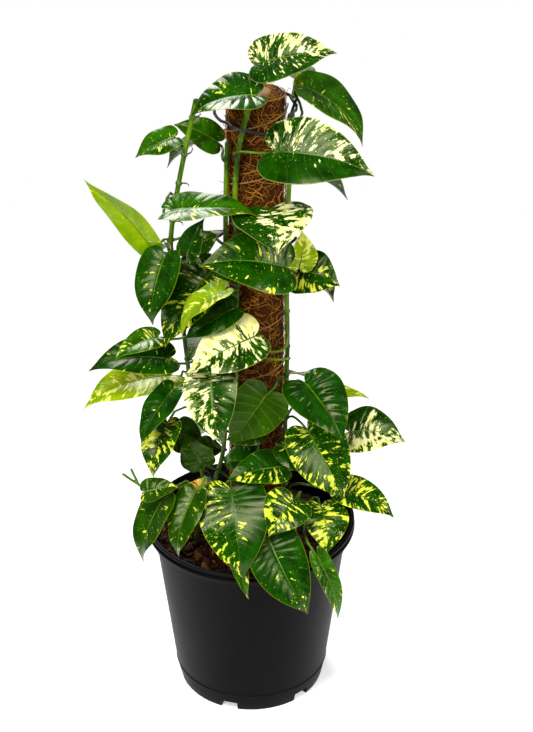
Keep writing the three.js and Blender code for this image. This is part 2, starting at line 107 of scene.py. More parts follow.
def turned(name, profile, segments, centre=(0, 0, 0)):
    """Spins a closed or axis-to-axis profile of (radius, height) points in mm round the Z axis."""
    points = [(r * MM + centre[0], centre[1], z * MM + centre[2]) for r, z in profile]
    piece = mesh_piece(name, points, edges=[(i, i + 1) for i in range(len(points) - 1)])
    choose(piece)
    bpy.ops.object.mode_set(mode="EDIT")
    bpy.ops.mesh.select_all(action="SELECT")
    bpy.ops.mesh.spin(steps=segments, angle=2 * math.pi, center=centre, axis=(0, 0, 1))
    bpy.ops.mesh.select_all(action="SELECT")
    bpy.ops.mesh.remove_doubles(threshold=0.00002)
    bpy.ops.mesh.normals_make_consistent(inside=False)
    bpy.ops.object.mode_set(mode="OBJECT")
    return piece


def linear(code):
    """An sRGB hex colour as linear RGBA."""
    parts = [int(code[i:i + 2], 16) / 255 for i in (1, 3, 5)]
    return tuple(c / 12.92 if c <= 0.04045 else ((c + 0.055) / 1.055) ** 2.4 for c in parts) + (1.0,)


def material(name, **shader_values):
    """A new node material, with its tree and its shader. Shader values are set on its own sockets."""
    made = bpy.data.materials.new(name)
    made.use_nodes = True
    shader = made.node_tree.nodes["Principled BSDF"]
    for key, value in shader_values.items():
        shader.inputs[key.replace("_", " ")].default_value = value
    return made, made.node_tree, shader


def add(tree, kind, inputs=None, output=None, **settings):
    """Adds a node and gives its output. An input that is given a socket is linked, any other value is set."""
    made = tree.nodes.new("ShaderNode" + kind)
    for key, value in settings.items():
        setattr(made, key, value)
    for key, value in (inputs or {}).items():
        if isinstance(key, int):
            entry = made.inputs[key]
        else:
            entry = next(socket for socket in made.inputs if socket.enabled and socket.name == key)
        if isinstance(value, bpy.types.NodeSocket):
            tree.links.new(value, entry)
        else:
            entry.default_value = value
    if output:
        return made.outputs[output]
    return next(socket for socket in made.outputs if socket.enabled)


pot_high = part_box("pot")[1]
rim_radius = pot_high[0] / MM
pot_height = pot_high[2] / MM
foot_radius, low_radius, wall_top_radius, wall = 91, 95.5, rim_radius - 9.5, 2.4
lip_foot = pot_height - 12
foot_ring, step_ring = 24, pot_height - 34


def wall_radius(z):
    return low_radius + (wall_top_radius - low_radius) * (z - foot_ring) / (lip_foot - foot_ring)


def bead(z, out, height):
    """A thin moulded line round the wall."""
    return [(wall_radius(z) + out * math.sin(math.pi * k / 6), z + height * k / 6) for k in range(7)]


pot_profile = [(0, 0), (foot_radius - 1.2, 0), (foot_radius - 0.3, 0.3), (foot_radius, 1.2)]
pot_profile += [(foot_radius + 2.6, 14), (low_radius - 0.6, foot_ring - 0.6)]
pot_profile += bead(foot_ring, 0.7, 1.6) + [(wall_radius(z), z) for z in range(40, 190, 30)]
pot_profile += [(wall_radius(step_ring), step_ring), (wall_radius(step_ring) + 1.7, step_ring + 0.8)]
pot_profile += [(wall_radius(z) + 1.7, z) for z in (step_ring + 2, 204, lip_foot - 1)]
# The lip: a rounded lower roll, a groove, and a taller upper bead that carries the flat top.
lip_shape = [(-7.4, 0.1), (-1.8, 0.2), (-0.6, 0.8), (0, 2.2), (0, 4.0), (-0.7, 5.2), (-1.9, 5.7), (-2.2, 6.4),
             (-1.9, 7.2), (-1.0, 7.8), (-0.5, 9.0), (-0.7, 10.8), (-1.5, 11.7), (-2.8, 12), (-4.2, 11.7),
             (-5.2, 10.8), (-6.0, 9.0), (-6.5, 6.5), (-7.2, 4.0), (-8.6, 2.0), (-10.2, 0.6)]
pot_profile += [(rim_radius + out, lip_foot + up) for out, up in lip_shape]
pot_profile += [(wall_radius(z) - wall, z) for z in (lip_foot - 6, 150, 100, 60, foot_ring)]
pot_profile += [(foot_radius - wall, 4.4), (foot_radius - wall - 1.6, 3), (0, 3)]
pot = turned("nursery_pot", pot_profile, 144)

notch_count, notch_width, notch_height, notch_cut, notch_first = 6, 21, 11, 32, -107
for i in range(notch_count):
    turn = math.radians(notch_first + 360 * i / notch_count)
    deselect()
    spot = (foot_radius * MM * math.cos(turn), foot_radius * MM * math.sin(turn), 0)
    bpy.ops.mesh.primitive_cube_add(size=1, location=spot, rotation=(0, 0, turn),
                                    scale=(notch_cut * MM, notch_width * MM, 2 * notch_height * MM))
    cutter = bpy.context.object
    finish_modifier(cutter, "BEVEL", width=1.2 * MM, segments=3)
    finish_modifier(pot, "BOOLEAN", object=cutter, operation="DIFFERENCE", solver="EXACT")
    bpy.data.objects.remove(cutter)

# Moulded polypropylene: an even satin black with a faint orange-peel skin, a little haze where it was
# handled, and pale dust and scuffs in thin rings all over the wall.
plastic, tree, shader = material("moulded_black_polypropylene", Roughness=0.5, IOR=1.49,
                                 Specular_IOR_Level=0.06)
place = add(tree, "TexCoord", output="Object")
haze = add(tree, "TexNoise", {"Vector": place, "Scale": 14, "Detail": 5, "Roughness": 0.62})
skin = add(tree, "TexNoise", {"Vector": place, "Scale": 1400, "Detail": 2})
rings_only = add(tree, "Mapping", {"Vector": place, "Scale": (1, 1, 9)})
scuffs = add(tree, "TexNoise", {"Vector": rings_only, "Scale": 90, "Detail": 6, "Roughness": 0.7})
black = add(tree, "Mix", {"Factor": haze, "A": linear("#040405"), "B": linear("#0a0a0b")}, data_type="RGBA")
worn = add(tree, "MapRange", {"Value": scuffs, "From Min": 0.62, "From Max": 0.8, "To Max": 0.3})
dusty = add(tree, "Mix", {"Factor": worn, "A": black, "B": linear("#222325")}, data_type="RGBA")
tree.links.new(dusty, shader.inputs["Base Color"])
gloss = add(tree, "MapRange", {"Value": haze, "To Min": 0.36, "To Max": 0.5})
tree.links.new(gloss, shader.inputs["Roughness"])
bumps = add(tree, "Bump", {"Height": skin, "Strength": 0.12, "Distance": 0.0002})
tree.links.new(bumps, shader.inputs["Normal"])
settle(pot, plastic, "pot_plastic", "pot", angle=34)


# ---- Soil ----
# A bark potting mix, filled to about 25 mm below the rim and pressed down, a little higher in the middle.
# Damp peat with shredded pine bark: dark crumbs with rusty and orange chips lying on top.
soil_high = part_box("soil")[1]
soil_top = soil_high[2]
soil_radius = soil_high[0] - 0.0004
chance = random.Random(11)


def soil_height(x, y):
    """How far the soil stands above its level: a soft mound with crumbs."""
    r = math.hypot(x, y) / soil_radius
    rolls = noise.fractal(Vector((x, y, 0)) * 26, 1.0, 2.2, 3) * 0.0035
    crumbs = noise.fractal(Vector((x, y, 7)) * 150, 1.0, 2.1, 3) * 0.0022
    return 0.004 * (1 - r * r) - 0.003 + rolls + crumbs


rings = 56
soil_profile = [(soil_radius / MM * k / rings, 0) for k in range(rings + 1)] + [(soil_radius / MM, -30)]
soil = turned("potting_soil", soil_profile, 160, centre=(0, 0, soil_top))
for vertex in soil.data.vertices:
    if vertex.co.z > soil_top - 0.01:
        vertex.co.z += soil_height(vertex.co.x, vertex.co.y)

# Damp peat: matte and nearly black where wet, brown on its drier crumbs.
peat, tree, shader = material("damp_peat_and_bark", Roughness=0.9, IOR=1.4, Specular_IOR_Level=0.2)
place = add(tree, "TexCoord", output="Object")
grains = add(tree, "TexVoronoi", {"Vector": place, "Scale": 420})
patches = add(tree, "TexNoise", {"Vector": place, "Scale": 60, "Detail": 6, "Roughness": 0.7})
damp = add(tree, "MapRange", {"Value": patches, "From Min": 0.4, "From Max": 0.75})
dry = add(tree, "MapRange", {"Value": grains, "From Min": 0.55, "From Max": 0.9})
brown = add(tree, "Mix", {"Factor": damp, "A": linear("#0e0703"), "B": linear("#331a0a")}, data_type="RGBA")
brown = add(tree, "Mix", {"Factor": dry, "A": brown, "B": linear("#6a3c1c")}, data_type="RGBA")
tree.links.new(brown, shader.inputs["Base Color"])
bumps = add(tree, "Bump", {"Height": grains, "Strength": 0.8, "Distance": 0.0012})
tree.links.new(bumps, shader.inputs["Normal"])
settle(soil, peat, "bark_mix", "soil", angle=60)


def scatter(name, shape, faces, placements, tones):
    """Copies one small shape to many places. Each copy keeps its own tone as an attribute."""
    count, size = len(placements), len(shape)
    points = np.concatenate([shape @ turn.T * scale + spot for turn, scale, spot in placements])
    cells = np.concatenate([faces + i * size for i in range(count)])
    piece = mesh_piece(name, points, cells.tolist())
    tone = piece.data.attributes.new("tone", "FLOAT", "POINT")
    tone.data.foreach_set("value", np.repeat(np.asarray(tones, dtype=np.float32), size))
    return piece


def random_turn(dice):
    axis = Vector((dice.gauss(0, 1), dice.gauss(0, 1), dice.gauss(0, 1))).normalized()
    return np.array(Matrix.Rotation(dice.uniform(0, 2 * math.pi), 3, axis))


pole_low, pole_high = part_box("coir_sleeve")
pole_x = (pole_low[0] + pole_high[0]) / 2
pole_y = (pole_low[1] + pole_high[1]) / 2
pole_radius = (pole_high[0] - pole_low[0]) / 2
pole_top = pole_high[2]

deselect()
bpy.ops.mesh.primitive_ico_sphere_add(subdivisions=2, radius=1)
nugget = bpy.context.object
nugget_points = np.array([v.co for v in nugget.data.vertices])
nugget_faces = np.array([p.vertices[:] for p in nugget.data.polygons])
bpy.data.objects.remove(nugget)
# Pine bark: corky and matte, dark brown where wet, rusty orange where freshly broken.
bark, tree, shader = material("shredded_pine_bark", Roughness=0.75, IOR=1.4, Specular_IOR_Level=0.3)
tone = add(tree, "Attribute", output="Fac", attribute_name="tone")
place = add(tree, "TexCoord", output="Object")
grain = add(tree, "TexNoise", {"Vector": place, "Scale": 500, "Detail": 4, "Roughness": 0.7})
wet = add(tree, "MapRange", {"Value": tone, "From Min": 0.1, "From Max": 0.7})
fresh = add(tree, "MapRange", {"Value": tone, "From Min": 0.62, "From Max": 0.9})
mixed = add(tree, "Mix", {"Factor": wet, "A": linear("#140a04"), "B": linear("#5c2e0e")}, data_type="RGBA")
mixed = add(tree, "Mix", {"Factor": fresh, "A": mixed, "B": linear("#c87a30")}, data_type="RGBA")
mixed = add(tree, "Mix", {"Factor": grain, "A": mixed, "B": linear("#2a180d")}, data_type="RGBA")
tree.links.new(mixed, shader.inputs["Base Color"])
bumps = add(tree, "Bump", {"Height": grain, "Strength": 0.7, "Distance": 0.0006})
tree.links.new(bumps, shader.inputs["Normal"])

# How many chips there are of each batch, and their least and greatest radius in mm.
chip_batches = ((1050, 1.5, 3.4), (320, 3.4, 6.5))
for batch, (chips, small, large) in enumerate(chip_batches):
    shift = Vector((batch * 9, 0, 0))
    lumps = np.array([1 + 0.42 * noise.noise(Vector(p) * 1.7 + shift) for p in nugget_points])
    spots, tones = [], []
    while len(spots) < chips:
        r, turn = soil_radius * math.sqrt(chance.random()) * 0.975, chance.uniform(0, 2 * math.pi)
        x, y = r * math.cos(turn), r * math.sin(turn)
        if math.hypot(x - pole_x, y - pole_y) < pole_radius + 0.002:
            continue
        size = chance.uniform(small, large) * MM
        stretch = np.array([chance.uniform(0.8, 1.5), chance.uniform(0.6, 1.0), chance.uniform(0.35, 0.7)])
        z = soil_top + soil_height(x, y) + size * 0.25
        flat = random_turn(chance) @ np.diag(stretch)
        spots.append((flat, size, np.array([x, y, z])))
        tones.append(min(1, max(0, chance.gauss(0.42, 0.26))))
    chip_piece = scatter(f"bark_chips_{batch}", nugget_points * lumps[:, None], nugget_faces, spots, tones)
    settle(chip_piece, bark, "bark_mix", angle=50)


# ---- Pole ----
# A turned softwood stake in a sleeve of matted coir. The sleeve is felted from loose coconut fibre and pulled
# over the stake, so curly fibres lie all over it and some stick out. Its foot is buried in the soil.
stake_low, stake_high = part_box("pole_stake")
stake_radius = (stake_high[0] - stake_low[0]) / 2
deselect()
bpy.ops.mesh.primitive_cylinder_add(vertices=48, radius=stake_radius, depth=stake_high[2] - stake_low[2],
                                    location=(pole_x, pole_y, (stake_high[2] + stake_low[2]) / 2))
stake = bpy.context.object
bpy.ops.object.transform_apply(location=True, rotation=True, scale=True)
stake.name = "pole_stake_finished"
finish_modifier(stake, "BEVEL", width=1.5 * MM, segments=3, limit_method="ANGLE")

# Sawn and rounded softwood, left raw: pale, with fine grain along its length.
wood, tree, shader = material("raw_turned_softwood", Roughness=0.7, IOR=1.45)
place = add(tree, "TexCoord", output="Object")
stretched = add(tree, "Mapping", {"Vector": place, "Scale": (1, 1, 0.06)})
grain = add(tree, "TexNoise", {"Vector": stretched, "Scale": 900, "Detail": 4})
pale = add(tree, "Mix", {"Factor": grain, "A": linear("#8a6238"), "B": linear("#c79a62")}, data_type="RGBA")
tree.links.new(pale, shader.inputs["Base Color"])
bumps = add(tree, "Bump", {"Height": grain, "Strength": 0.4, "Distance": 0.0004})
tree.links.new(bumps, shader.inputs["Normal"])
settle(stake, wood, "stake_wood", "pole_stake")

sleeve_foot = pole_low[2]
fibre_chance = random.Random(5)
sleeve_profile = [(stake_radius / MM + 0.4, sleeve_foot / MM), (pole_radius / MM - 1.6, sleeve_foot / MM)]
sleeve_rows = 150
for k in range(1, sleeve_rows):
    height = (sleeve_foot + (pole_top - sleeve_foot) * k / sleeve_rows) / MM
    sleeve_profile.append((pole_radius / MM - 1.2, height))
sleeve_profile += [(pole_radius / MM - 1.6, pole_top / MM - 0.4),
                   (stake_radius / MM + 6, pole_top / MM - 0.6),
                   (stake_radius / MM + 0.4, pole_top / MM - 1.2),
                   (stake_radius / MM + 0.4, sleeve_foot / MM)]
sleeve = turned("coir_mat", sleeve_profile, 96, centre=(pole_x, pole_y, 0))
for vertex in sleeve.data.vertices:
    out = Vector((vertex.co.x - pole_x, vertex.co.y - pole_y, 0))
    if out.length > stake_radius + 0.004:
        lump = noise.fractal(vertex.co * 110, 1.0, 2.2, 4) * 0.0016 + noise.noise(vertex.co * 22) * 0.0012
        vertex.co += out.normalized() * min(0.0011, lump)

# Coconut fibre: dry and matte, rusty brown, each fibre a little lighter or darker than the next. The felt's
# own rusty brown is taken very dark here, as painted shade in the gaps between the loose fibres.
coir, tree, shader = material("felted_coconut_fibre", Roughness=0.85, IOR=1.4, Specular_IOR_Level=0.2)
place = add(tree, "TexCoord", output="Object")
matted = add(tree, "TexNoise", {"Vector": place, "Scale": 700, "Detail": 6, "Roughness": 0.75,
                                "Distortion": 2.5})
cloudy = add(tree, "TexNoise", {"Vector": place, "Scale": 38, "Detail": 4})
# Its near-black end is painted shade for the gaps between the loose fibres, not the felt's own colour.
dark = add(tree, "Mix", {"Factor": matted, "A": linear("#120700"), "B": linear("#703802")}, data_type="RGBA")
shade = add(tree, "MapRange", {"Value": cloudy, "From Min": 0.35, "From Max": 0.7, "To Max": 0.4})
brown_with_painted_gap_shade = add(tree, "Mix", {"Factor": shade, "A": dark, "B": linear("#241000")}, data_type="RGBA")
tree.links.new(brown_with_painted_gap_shade, shader.inputs["Base Color"])
bumps = add(tree, "Bump", {"Height": matted, "Strength": 1.0, "Distance": 0.0012})
tree.links.new(bumps, shader.inputs["Normal"])
settle(sleeve, coir, "coir_fibre", "coir_sleeve", angle=60)


def strands(name, routes, thick, tones):
    """Fibres: thin three-sided strands along routes of points, tapering to their ends, in one mesh."""
    points, faces, values = [], [], []
    for route, tone in zip(routes, tones):
        route = np.array(route)
        along = np.gradient(route, axis=0)
        along /= np.linalg.norm(along, axis=1)[:, None] + 1e-9
        side = np.cross(along, (0.31, 0.22, 0.92))
        side /= np.linalg.norm(side, axis=1)[:, None] + 1e-9
        up = np.cross(along, side)
        first, last = len(points), len(route) - 1
        for k, spot in enumerate(route):
            size = thick * (0.45 + 0.55 * math.sin(math.pi * (k + 0.6) / (last + 1.2)))
            for turn in (0, 2.094, 4.189):
                points.append(spot + size * (math.cos(turn) * side[k] + math.sin(turn) * up[k]))
                values.append(tone)
        for k in range(last):
            for j in range(3):
                a, b = first + 3 * k + j, first + 3 * k + (j + 1) % 3
                faces.append((a, b, b + 3, a + 3))
        faces += [(first + 2, first + 1, first), tuple(first + 3 * last + j for j in range(3))]
    piece = mesh_piece(name, points, faces)
    tone_values = piece.data.attributes.new("tone", "FLOAT", "POINT")
    tone_values.data.foreach_set("value", np.asarray(values, dtype=np.float32))
    return piece


fibre_count, end_count = 3300, 300
routes, tones = [], []
for k in range(fibre_count):
    loose = fibre_chance.random() < 0.13
    steps = 8 if loose else 9
    around = fibre_chance.uniform(0, 2 * math.pi)
    z = fibre_chance.uniform(soil_top - 0.002, pole_top - 0.001)
    heading = fibre_chance.gauss(0, 0.75) + (math.pi if fibre_chance.random() < 0.5 else 0)
    curl = fibre_chance.gauss(0, 0.34)
    step = fibre_chance.uniform(1.5, 3.4) * MM
    sink = fibre_chance.uniform(-0.1, 0.9) * MM
    lift = fibre_chance.uniform(0.6, 1.7) * MM if loose else 0
    route = []
    for i in range(steps):
        out = pole_radius + sink + 0.5 * MM * math.sin(1.1 * i + k)
        if loose and i > 2:
            out += lift * (i - 2)
        limited = min(max(z, soil_top - 0.004), pole_top + (0.004 if loose else -0.0005))
        route.append((pole_x + out * math.cos(around), pole_y + out * math.sin(around), limited))
        heading += curl + fibre_chance.gauss(0, 0.16)
        around += step * math.cos(heading) / pole_radius
        z += step * math.sin(heading)
    routes.append(route)
    tones.append(min(1, max(0, fibre_chance.gauss(0.42, 0.32))))
# The sleeve's cut top end shows its thickness, a ring of short tangled ends.
for _ in range(end_count):
    around = fibre_chance.uniform(0, 2 * math.pi)
    out = fibre_chance.uniform(stake_radius + 0.001, pole_radius)
    bend, rise = fibre_chance.gauss(0, 0.09), fibre_chance.uniform(0.3, 1.1) * MM
    route = []
    for i in range(6):
        route.append((pole_x + out * math.cos(around), pole_y + out * math.sin(around),
                      pole_top - 0.001 + rise * math.sin(0.6 * i)))
        around += bend
        out = min(pole_radius, max(stake_radius + 0.001, out + fibre_chance.gauss(0, 1.2) * MM))
    routes.append(route)
    tones.append(min(1, max(0, fibre_chance.gauss(0.5, 0.25))))
fibres = strands("coir_fibres", routes, 0.28 * MM, tones)

# Single loose fibres: stiff and a little shiny, each from dark rust to bright straw by its own tone.
strand_fibre, tree, shader = material("loose_coconut_fibre", Roughness=0.7, IOR=1.45, Specular_IOR_Level=0.3)
tone = add(tree, "Attribute", output="Fac", attribute_name="tone")
rusty = add(tree, "Mix", {"Factor": tone, "A": linear("#4a2400"), "B": linear("#f2a42c")}, data_type="RGBA")
tree.links.new(rusty, shader.inputs["Base Color"])
gloss = add(tree, "MapRange", {"Value": tone, "To Min": 0.8, "To Max": 0.55})
tree.links.new(gloss, shader.inputs["Roughness"])
settle(fibres, strand_fibre, "coir_fibre", angle=80)


# ---- Twine ----
# A thin two-ply natural twine, wound round the sleeve in an open spiral to hold the mat shut.
twine_low, twine_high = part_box("twine")
twine_radius, twine_pitch = 0.9 * MM, 60 * MM
twine_out = (twine_high[0] - twine_low[0]) / 2 - twine_radius
twine_rise = twine_high[2] - twine_low[2] - 2 * twine_radius
ply_radius, ply_lay = 0.5 * MM, 5.5 * MM


def rod(name, points, radii, rounding=2):
    """A round capped rod through points, with a radius at each point."""
    data = bpy.data.curves.new(name, "CURVE")
    data.dimensions = "3D"
    data.bevel_depth = 1
    data.bevel_resolution = rounding
    data.use_fill_caps = True
    spline = data.splines.new("POLY")
    spline.points.add(len(points) - 1)
    for knot, spot, radius in zip(spline.points, points, radii):
        knot.co = (spot[0], spot[1], spot[2], 1)
        knot.radius = radius
    piece = bpy.data.objects.new(name, data)
    scene.collection.objects.link(piece)
    choose(piece)
    bpy.ops.object.convert(target="MESH")
    return bpy.context.object


def joined(name, pieces):
    """Joins pieces into one, which keeps the first one's materials in order."""
    deselect()
    for piece in pieces:
        piece.select_set(True)
    bpy.context.view_layer.objects.active = pieces[0]
    bpy.ops.object.join()
    pieces[0].name = name
    return pieces[0]


plies = []
for start in (0, math.pi):
    route = []
    steps = 1600
    for k in range(steps + 1):
        rise = twine_rise * k / steps
        around = 2 * math.pi * rise / twine_pitch
        twist = start + 2 * math.pi * (twine_out * around) / ply_lay
        out = twine_out + ply_radius * 0.85 * math.cos(twist)
        z = twine_low[2] + twine_radius + rise + ply_radius * 0.85 * math.sin(twist)
        route.append((pole_x + out * math.cos(around), pole_y + out * math.sin(around), z))
    plies.append(rod("twine_ply", route, [ply_radius] * len(route), rounding=1))
twine = joined("wound_twine", plies)

# Spun jute: matte and straw brown, with pale and dark yarn fibres.
jute, tree, shader = material("spun_jute_twine", Roughness=0.85, IOR=1.4)
place = add(tree, "TexCoord", output="Object")
yarn = add(tree, "TexNoise", {"Vector": place, "Scale": 1600, "Detail": 3})
straw = add(tree, "Mix", {"Factor": yarn, "A": linear("#5f3c18"), "B": linear("#c49a5c")}, data_type="RGBA")
tree.links.new(straw, shader.inputs["Base Color"])
bumps = add(tree, "Bump", {"Height": yarn, "Strength": 0.8, "Distance": 0.0003})
tree.links.new(bumps, shader.inputs["Normal"])
settle(twine, jute, "natural_twine", "twine", angle=60)


# ---- Vines and petioles ----
# Five climbing stems, each with the petioles of its own leaves, growing out of the soil and up the sleeve.
# Living green tissue: smooth, a little waxy, yellow-green in the light, with a joint at every leaf.
def softened(name, node, voxel, rounds):
    """A rounded copy of a plain CAD piece: its corners are remeshed and relaxed away."""
    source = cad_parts[node]
    copy = bpy.data.objects.new(name, source.data.copy())
    scene.collection.objects.link(copy)
    choose(copy)
    bpy.ops.object.mode_set(mode="EDIT")
    bpy.ops.mesh.select_all(action="SELECT")
    bpy.ops.mesh.remove_doubles(threshold=0.00001)
    bpy.ops.object.mode_set(mode="OBJECT")
    finish_modifier(copy, "REMESH", mode="VOXEL", voxel_size=voxel)
    finish_modifier(copy, "SMOOTH", factor=0.5, iterations=rounds)
    return copy


def stem_line(vine):
    """The middle of a stem from the soil to its end, from cuts through its CAD mesh at even heights."""
    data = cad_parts[vine].data
    spots = np.array([vertex.co for vertex in data.vertices])
    ends = np.array([edge.vertices[:] for edge in data.edges])
    low, high = spots[ends[:, 0]], spots[ends[:, 1]]
    level, middle, line = spots[:, 2].min() + 0.002, None, []
    while level < spots[:, 2].max():
        crossing = (low[:, 2] - level) * (high[:, 2] - level) < 0
        share = (level - low[crossing, 2]) / (high[crossing, 2] - low[crossing, 2])
        cut = low[crossing] + (high[crossing] - low[crossing]) * share[:, None]
        near = cut if middle is None else cut[np.linalg.norm(cut - middle, axis=1) < 0.0052]
        if len(near) < 4:
            break
        middle = (near.max(axis=0) + near.min(axis=0)) / 2
        line.append(middle)
        level += 0.003
    return line


# The cuticle is smooth and waxy. The colour drifts between deep green and yellow-green, with faint lengthwise
# streaks and a few corky flecks.
stem_skin, tree, shader = material("living_green_stem", Roughness=0.3, IOR=1.42, Specular_IOR_Level=0.4)
place = add(tree, "TexCoord", output="Object")
fine = add(tree, "Mapping", {"Vector": place, "Scale": (1, 1, 0.25)})
streaks = add(tree, "TexNoise", {"Vector": fine, "Scale": 380, "Detail": 4})
cloudy = add(tree, "TexNoise", {"Vector": place, "Scale": 24, "Detail": 2})
corky = add(tree, "TexNoise", {"Vector": place, "Scale": 520, "Detail": 5, "Roughness": 0.7})
light = add(tree, "MapRange", {"Value": cloudy, "From Min": 0.35, "From Max": 0.65})
fleck = add(tree, "MapRange", {"Value": corky, "From Min": 0.64, "From Max": 0.74, "To Max": 0.55})
green = add(tree, "Mix", {"Factor": light, "A": linear("#184400"), "B": linear("#5e8604")}, data_type="RGBA")
streaky = add(tree, "MapRange", {"Value": streaks, "From Min": 0.5, "From Max": 0.75, "To Max": 0.4})
green = add(tree, "Mix", {"Factor": streaky, "A": green, "B": linear("#a0b826")}, data_type="RGBA")
green = add(tree, "Mix", {"Factor": fleck, "A": green, "B": linear("#7a6a34")}, data_type="RGBA")
tree.links.new(green, shader.inputs["Base Color"])
bumps = add(tree, "Bump", {"Height": streaks, "Strength": 0.25, "Distance": 0.0004})
tree.links.new(bumps, shader.inputs["Normal"])

# Dried aerial root: corky and matte, in broken light and dark browns.
root_bark, tree, shader = material("dry_aerial_root", Roughness=0.8, IOR=1.4)
place = add(tree, "TexCoord", output="Object")
crust = add(tree, "TexNoise", {"Vector": place, "Scale": 900, "Detail": 4})
brown = add(tree, "Mix", {"Factor": crust, "A": linear("#3a2412"), "B": linear("#8c6a3c")}, data_type="RGBA")
tree.links.new(brown, shader.inputs["Base Color"])
bumps = add(tree, "Bump", {"Height": crust, "Strength": 0.5, "Distance": 0.0004})
tree.links.new(bumps, shader.inputs["Normal"])

vine_chance = random.Random(23)
rings, roots = [], []
stem_radius = 3.1 * MM
for vine in ("front_vine", "right_vine", "left_vine", "free_vine", "back_vine"):
    line = stem_line(vine)
    body = softened(vine + "_finished", vine, 0.95 * MM, 4)
    foot = line[0]
    buried = rod("stem_foot", [(foot[0], foot[1], soil_top - 0.012), (foot[0], foot[1], foot[2] + 0.004)],
                 [stem_radius * 0.95] * 2)
    settle(joined(vine + "_finished", [body, buried]), stem_skin, "green_stem", vine, angle=70)
    k = 8
    while k < len(line) - 4:
        # A joint: a low swelling with a scar ring, and on the pole side one or two short clinging roots.
        middle, way = Vector(line[k]), (Vector(line[k + 2]) - Vector(line[k - 2])).normalized()
        heights = (-2.6, -1.7, -0.9, -0.3, 0.0, 0.3, 1.0, 1.9, 2.8)
        swell = (2.6, 3.25, 3.65, 3.8, 3.55, 3.8, 3.6, 3.2, 2.6)
        rings.append(rod("joint", [middle + way * h * MM for h in heights], [r * MM for r in swell]))
        inward = Vector((pole_x - middle.x, pole_y - middle.y, 0)).normalized()
        for _ in range(vine_chance.choice((0, 1, 1, 2))):
            reach = min(0.011, math.hypot(pole_x - middle.x, pole_y - middle.y) - pole_radius)
            lean = Vector((-inward.y, inward.x, 0)) * vine_chance.uniform(-0.9, 0.9)
            drop = vine_chance.uniform(-0.7, 0.5)
            route = [middle + inward * 0.0015]
            route.append(middle + inward * (reach * 0.7) + lean * 0.003 + Vector((0, 0, drop * 0.002)))
            route.append(middle + inward * reach + lean * 0.009 + Vector((0, 0, drop * 0.008)))
            route.append(middle + inward * reach + lean * 0.016 + Vector((0, 0, drop * 0.016)))
            roots.append(rod("root", route, [r * MM for r in (1.1, 0.8, 0.55, 0.2)], rounding=1))
        k += vine_chance.randint(11, 16)
settle(joined("stem_joints", rings), stem_skin, "green_stem", angle=60)
settle(joined("aerial_roots", roots), root_bark, "green_stem", angle=60)


# ---- Soft ties ----
# Two ties of soft rubber-coated wire hold the vines to the pole, one at mid height and one wound at the top.
# Soft synthetic rubber on wire: dark grey with a faint dusty bloom.
rubber, tree, shader = material("soft_rubber_coated_wire", Roughness=0.5, IOR=1.5)
place = add(tree, "TexCoord", output="Object")
bloom = add(tree, "TexNoise", {"Vector": place, "Scale": 300, "Detail": 5})
ink = add(tree, "Mix", {"Factor": bloom, "A": linear("#0f1011"), "B": linear("#26282a")}, data_type="RGBA")
tree.links.new(ink, shader.inputs["Base Color"])
bumps = add(tree, "Bump", {"Height": bloom, "Strength": 0.3, "Distance": 0.0003})
tree.links.new(bumps, shader.inputs["Normal"])
for node in ("soft_tie_middle", "soft_tie_top"):
    tie = softened(node + "_finished", node, 0.45 * MM, 3)
    settle(tie, rubber, "soft_tie_rubber", node, angle=80)


# ---- Leaves ----
# Heart-shaped leaves, each folded a little along its midrib and bowed, with a drawn-out tip. The skin is
# thin, leathery and waxy, puckered between side veins, dark green splashed with lime and cream, and paler
# beneath.
columns, rows = 5, 6


def blade_plan():
    """The triangles of the plain CAD blade in the order it was made, by number, with its named points."""
    top = [[i * columns + j for j in range(columns)] for i in range(rows)]
    under, count = [], rows * columns
    for i in range(rows):
        shared = [i == 0 or j in (0, columns - 1) for j in range(columns)]
        under.append([top[i][j] if shared[j] else count + sum(not s for s in shared[:j])
                      for j in range(columns)])
        count += sum(not s for s in shared)
    tip, faces = count, []
    for j in range(columns - 1):
        for i in range(rows - 1):
            a, b, c, d = top[i][j], top[i][j + 1], top[i + 1][j + 1], top[i + 1][j]
            faces += [(a, b, c), (a, c, d)]
            a, b, c, d = under[i][j], under[i][j + 1], under[i + 1][j + 1], under[i + 1][j]
            faces += [(a, d, b), (b, d, c)] if (i, j) == (0, columns - 2) else [(a, c, b), (a, d, c)]
        faces += [(top[-1][j], top[-1][j + 1], tip), (under[-1][j + 1], under[-1][j], tip)]
    return faces, top, tip


def corners(faces):
    """For each side of a triangle, in its turning order, the point opposite."""
    return {pair: c for a, b, d in faces for pair, c in (((a, b), d), ((b, d), a), ((d, a), b))}


def blade_points(node):
    """Finds the base, tip and side points of a leaf's plain blade, by matching its triangles to the plan."""
    shell = bmesh.new()
    shell.from_mesh(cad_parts[node].data)
    bmesh.ops.remove_doubles(shell, verts=shell.verts, dist=1e-6)
    spots = [vertex.co.copy() for vertex in shell.verts]
    real = corners([[vertex.index for vertex in face.verts] for face in shell.faces])
    shell.free()
    faces, top, tip = blade_plan()
    plan = corners(faces)
    start = (top[2][2], top[3][2])
    for seed in real:
        match, queue, seen = dict(zip(start, seed)), [start], set()
        while queue:
            side = queue.pop()
            if side in seen:
                continue
            seen.add(side)
            found = real.get((match[side[0]], match[side[1]]))
            if found is None or match.setdefault(plan[side], found) != found:
                break
            ahead = plan[side]
            queue += [(side[1], side[0]), (ahead, side[1]), (side[0], ahead)]
        else:
            if len(set(match.values())) == len(spots):
                return {key: spots[match[number]] for key, number in
                        (("base", top[0][2]), ("tip", tip), ("left", top[2][0]), ("right", top[2][4]),
                         ("middle", top[3][2]))}
    raise RuntimeError("no blade found in " + node)


